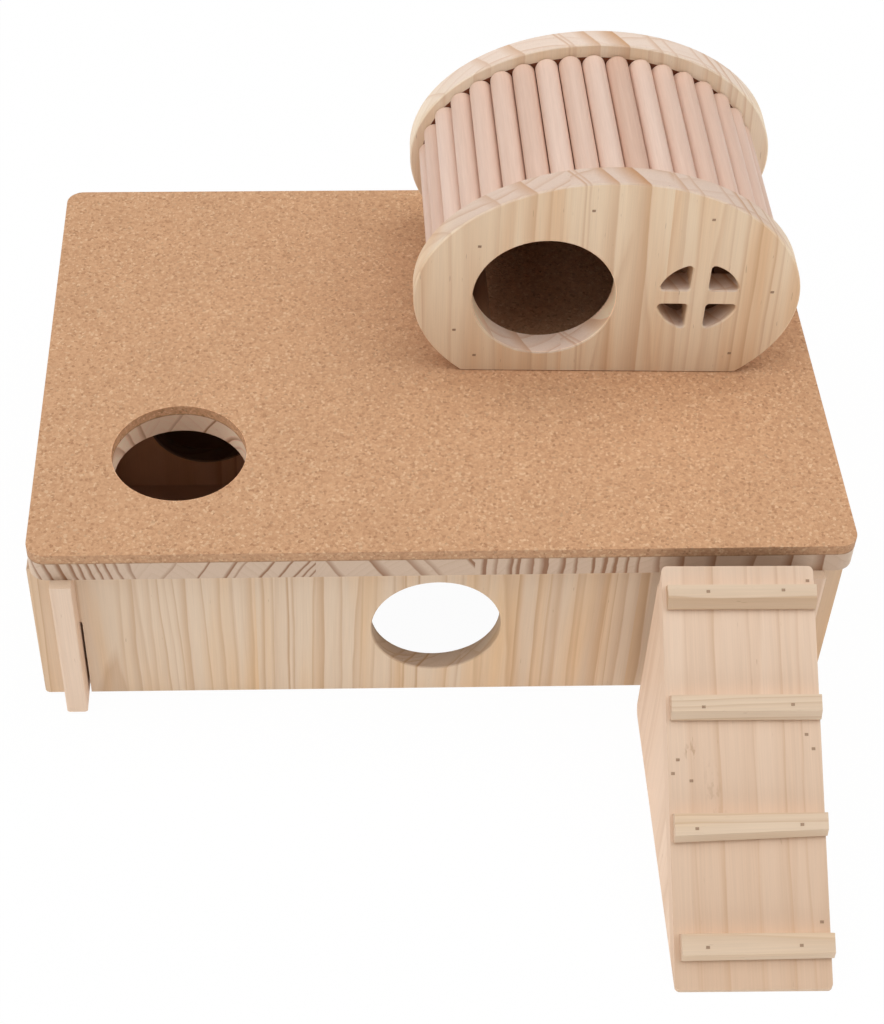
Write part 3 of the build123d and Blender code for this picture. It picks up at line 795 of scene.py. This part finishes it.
class HAMSTER_OT_make_roof(bpy.types.Operator):
    """Turns the roof's rods, rounded at their ends, each in one of four tones"""
    bl_idname = "hamster.make_roof"
    bl_label = "Make Roof"

    def execute(self, context):
        finish = context.scene.hamster_house.dowel
        low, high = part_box("roof_rod_01")
        painted_shade_oval = roof_oval((high.x - low.x) * SHADED_SHARE)
        tones = [dowel(f"Birch dowel {letter}", finish, blush, *painted_shade_oval)
                 for letter, blush in zip("ABCD", BLUSHES)]
        first = self.turn_rod(finish, low, high)
        start = (low + high) / 2
        for count, tone in enumerate(ROD_TONES, start=1):
            node = f"roof_rod_{count:02d}"
            rod = first if count == 1 else first.copy()
            if count > 1:
                rod.data = first.data.copy()
                rod.data.materials.clear()
                rod.data.transform(Matrix.Translation(sum(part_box(node), Vector()) / 2 - start))
                context.collection.objects.link(rod)
            rod.name = f"turned_rod_{count:02d}"
            rod.data.materials.append(tones[tone])
            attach(rod, "hut")
            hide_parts(node)
        return {"FINISHED"}

    def turn_rod(self, finish, low, high):
        """One rod where the first stands, its end edges rounded over."""
        radius = (high.x - low.x) / 2
        # The box is longer than the rod, because the rod's ends are cut along the turned plates.
        slant = 2 * radius * math.tan(abs(HUT_TURN))
        bpy.ops.object.select_all(action="DESELECT")
        bpy.ops.mesh.primitive_cylinder_add(
            vertices=40, radius=radius + finish.fullness, depth=high.y - low.y - slant - finish.gap,
            location=(low + high) / 2 - Vector((0, finish.gap / 2, 0)), rotation=(math.pi / 2, 0, 0))
        rod = bpy.context.active_object
        bpy.ops.object.transform_apply(location=True, rotation=True, scale=True)
        bpy.ops.object.mode_set(mode="EDIT")
        bpy.ops.mesh.select_mode(type="EDGE")
        bpy.ops.mesh.select_all(action="DESELECT")
        bpy.ops.object.mode_set(mode="OBJECT")
        for edge in rod.data.edges:
            ends = [rod.data.vertices[v].co.y for v in edge.vertices]
            edge.select = abs(ends[0] - ends[1]) < radius / 100
        bpy.ops.object.mode_set(mode="EDIT")
        bpy.ops.mesh.bevel(offset=finish.rounding, segments=4, affect="EDGES")
        bpy.ops.object.mode_set(mode="OBJECT")
        bpy.ops.object.shade_smooth_by_angle(angle=math.radians(40))
        return rod


class HAMSTER_OT_finish_ramp(bpy.types.Operator):
    """Gives the ramp's deck, sides and cleats their pine"""
    bl_idname = "hamster.finish_ramp"
    bl_label = "Finish Ramp"

    def execute(self, context):
        finish = context.scene.hamster_house.ramp_pine
        cleat_finish = context.scene.hamster_house.panel_pine
        # The deck is painted warmer and darker towards its foot, as painted shade.
        dress("ramp_board", pine("Pine, ramp deck", finish, ALONG_SLOPE, corner("ramp_board"), [
            (0, 24, 60, 0),
        ], DECK_RINGS, DECK_SCARS, painted_fade=(-10, 155)))
        for side, heart in (("left", (0, 70, 26, 0)), ("right", (0, 40, -22, 0))):
            node = f"ramp_side_{side}"
            dress(node, pine(f"Pine, ramp side {side}", finish, UPRIGHT_DEEP, corner(node), [heart]))
        for count, heart in enumerate([(0, -8, 14, 0), (0, 12, -9, 0), (0, -6, 22, 0), (0, 10, 12, 0)], 1):
            node = f"ramp_cleat_{count}"
            rings = TOP_CLEAT_RINGS if count == 1 else ()
            dress(node, pine(f"Pine, cleat {count}", cleat_finish, LYING_ACROSS, corner(node), [heart],
                             rings))
        return {"FINISHED"}


class HAMSTER_OT_finish_brads(bpy.types.Operator):
    """Gives the brads their wire"""
    bl_idname = "hamster.finish_brads"
    bl_label = "Finish Brads"

    def execute(self, context):
        wire = brad_wire("Brad wire", context.scene.hamster_house.brad)
        for node in ("hut_front_brads", "hut_back_brads", "ramp_board_brads", "ramp_cleat_brads"):
            dress(node, wire)
        return {"FINISHED"}


class HAMSTER_OT_set_stage(bpy.types.Operator):
    """Lays the floor, and places the lamps and the camera"""
    bl_idname = "hamster.set_stage"
    bl_label = "Set Stage"

    def execute(self, context):
        settings = context.scene.hamster_house.stage
        self.lay_floor(settings)
        self.light(context.scene, settings)
        self.place_camera(context.scene, settings)
        context.scene.view_settings.view_transform = "Standard"
        return {"FINISHED"}

    def lay_floor(self, settings):
        """A pale sweep that the camera sees as white, with a faint shadow, and dark under the house, where
        it shows its whole shadow and is painted a darker gloom colour as painted shade.

        Where the entrance looks down on it, it stays white.
        """
        bpy.ops.object.select_all(action="DESELECT")
        bpy.ops.mesh.primitive_plane_add(size=FLOOR_SIZE, location=(0, 0, cad_box[0].z))
        floor = bpy.context.active_object
        floor.name = "floor"
        bpy.ops.object.transform_apply(location=True, rotation=False, scale=False)
        material = bpy.data.materials.new("Studio floor, painted")
        material.use_nodes = True
        tree = material.node_tree
        tree.nodes.clear()
        coords = add_node(tree, "ShaderNodeTexCoord")
        place = add_node(tree, "ShaderNodeSeparateXYZ", {0: coords.outputs["Object"]}).outputs
        low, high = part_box("front_wall")
        under = self.between(tree, place, (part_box("left_side_panel")[0].x, high.y),
                             (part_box("right_side_panel")[1].x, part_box("back_wall")[1].y))
        middle = (low.x + high.x) / 2
        lit = self.between(tree, place, (middle - WHITE_SIDEWAYS, low.y),
                           (middle + WHITE_SIDEWAYS, low.y + WHITE_BACK))
        dark = add_node(tree, "ShaderNodeMath", {0: under, 1: lit}, operation="SUBTRACT",
                        use_clamp=True).outputs[0]
        shown_share = add_node(tree, "ShaderNodeMapRange", {0: dark, 3: settings.shadow, 4: 1.0}).outputs[0]
        # Under the house the floor is painted the gloom colour, as painted shade.
        tone = add_node(tree, "ShaderNodeMix", {
            0: under, 6: opaque(settings.floor), 7: opaque(settings.gloom),
        }, data_type="RGBA").outputs[2]
        paint = add_node(tree, "ShaderNodeBsdfDiffuse", {"Color": tone})
        glow = add_node(tree, "ShaderNodeEmission", {"Strength": 1.0})
        white = add_node(tree, "ShaderNodeMixShader", {
            0: shown_share, 1: glow.outputs[0], 2: paint.outputs[0],
        })
        rays = add_node(tree, "ShaderNodeLightPath").outputs
        seen = add_node(tree, "ShaderNodeMath", {0: rays["Is Camera Ray"], 1: rays["Is Glossy Ray"]},
                        operation="MAXIMUM").outputs[0]
        seen = add_node(tree, "ShaderNodeMath", {0: seen, 1: rays["Is Transmission Ray"]},
                        operation="MAXIMUM").outputs[0]
        open_floor = add_node(tree, "ShaderNodeMapRange", {0: under, 3: settings.bounce, 4: 0.0}).outputs[0]
        thrown = add_node(tree, "ShaderNodeEmission", {"Strength": open_floor})
        unseen = add_node(tree, "ShaderNodeAddShader", {0: paint.outputs[0], 1: thrown.outputs[0]})
        shown = add_node(tree, "ShaderNodeMixShader", {0: seen, 1: unseen.outputs[0], 2: white.outputs[0]})
        add_node(tree, "ShaderNodeOutputMaterial", {"Surface": shown.outputs[0]})
        floor.data.materials.append(material)

    def between(self, tree, place, low, high):
        """1 on the floor inside a rectangle, 0 outside it."""
        inside = []
        for axis in (0, 1):
            inside.append(add_node(tree, "ShaderNodeMath", {
                0: place[axis], 1: (low[axis] + high[axis]) / 2, 2: (high[axis] - low[axis]) / 2,
            }, operation="COMPARE").outputs[0])
        return add_node(tree, "ShaderNodeMath", {0: inside[0], 1: inside[1]},
                        operation="MULTIPLY").outputs[0]

    def light(self, scene, settings):
        """Even light from all round, two broad lamps overhead and a low one at the left.

        The pale floor lights the front.
        """
        world = bpy.data.worlds.new("Studio")
        scene.world = world
        world.use_nodes = True
        tree = world.node_tree
        tree.nodes.clear()
        rays = add_node(tree, "ShaderNodeLightPath").outputs
        strength = add_node(tree, "ShaderNodeMapRange", {
            0: rays["Is Camera Ray"], 3: settings.ambient, 4: 1.0,
        }).outputs[0]
        sky = add_node(tree, "ShaderNodeBackground", {"Color": (1, 1, 1, 1), "Strength": strength})
        add_node(tree, "ShaderNodeOutputWorld", {"Surface": sky.outputs[0]})
        # Each lamp's height over the floor, its way round to the left from the front, and its spread,
        # all in degrees.
        for name, level, height, left, spread in (
                ("key_lamp", settings.key, 62, 88, 60),
                ("fill_lamp", settings.fill, 62, -88, 60),
                ("side_lamp", settings.side, 22, 68, 50)):
            turn = (math.radians(90 - height), 0, math.radians(-left))
            bpy.ops.object.light_add(type="SUN", rotation=turn)
            lamp = bpy.context.active_object
            lamp.name = name
            lamp.data.energy = math.pi * level
            lamp.data.angle = math.radians(spread)

    def place_camera(self, scene, settings):
        """A camera in front of the house, looking down on it by 46 degrees."""
        bpy.ops.object.camera_add()
        camera = bpy.context.active_object
        camera.name = "camera"
        camera.data.lens = settings.lens
        camera.data.shift_x = CAMERA_SHIFT
        ahead = Vector((math.sin(CAMERA_YAW), math.cos(CAMERA_YAW), 0)) * math.cos(CAMERA_PITCH)
        ahead.z = -math.sin(CAMERA_PITCH)
        level = Vector((math.cos(CAMERA_YAW), -math.sin(CAMERA_YAW), 0))
        up = level.cross(ahead)
        right = math.cos(CAMERA_ROLL) * level + math.sin(CAMERA_ROLL) * up
        top = -math.sin(CAMERA_ROLL) * level + math.cos(CAMERA_ROLL) * up
        camera.matrix_world = Matrix((right, top, -ahead)).transposed().to_4x4()
        camera.location = CAMERA_PLACE
        scene.camera = camera


class HAMSTER_PT_house(bpy.types.Panel):
    """Lists the house's operators and settings"""
    bl_idname = "HAMSTER_PT_house"
    bl_label = "Hamster House"
    bl_space_type = "VIEW_3D"
    bl_region_type = "UI"
    bl_category = "Hamster House"

    def draw(self, context):
        for operator in OPERATORS:
            self.layout.operator(operator.bl_idname)
        house = context.scene.hamster_house
        for group in HAMSTER_PG_house.__annotations__:
            box = self.layout.box()
            settings = getattr(house, group)
            box.label(text=group.replace("_", " ").title())
            for name in settings.__annotations__:
                box.prop(settings, name)


OPERATORS = [
    HAMSTER_OT_finish_box, HAMSTER_OT_finish_platform, HAMSTER_OT_finish_hut, HAMSTER_OT_make_roof,
    HAMSTER_OT_finish_ramp, HAMSTER_OT_finish_brads, HAMSTER_OT_set_stage,
]
CLASSES = [
    HAMSTER_PG_panel_pine, HAMSTER_PG_partition_shaded_pine, HAMSTER_PG_board_pine, HAMSTER_PG_plate_pine,
    HAMSTER_PG_back_plate_lit_pine, HAMSTER_PG_ramp_pine,
    HAMSTER_PG_cork, HAMSTER_PG_dowel, HAMSTER_PG_brad, HAMSTER_PG_stage, HAMSTER_PG_house,
    *OPERATORS, HAMSTER_PT_house,
]


def register():
    for item in CLASSES:
        bpy.utils.register_class(item)
    bpy.types.Scene.hamster_house = PointerProperty(type=HAMSTER_PG_house)


def unregister():
    del bpy.types.Scene.hamster_house
    for item in reversed(CLASSES):
        bpy.utils.unregister_class(item)


def main():
    """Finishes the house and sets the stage."""
    register()
    bpy.ops.hamster.finish_box()
    bpy.ops.hamster.finish_platform()
    bpy.ops.hamster.finish_hut()
    bpy.ops.hamster.make_roof()
    bpy.ops.hamster.finish_ramp()
    bpy.ops.hamster.finish_brads()
    bpy.ops.hamster.set_stage()


if __name__ == "__main__":
    main()
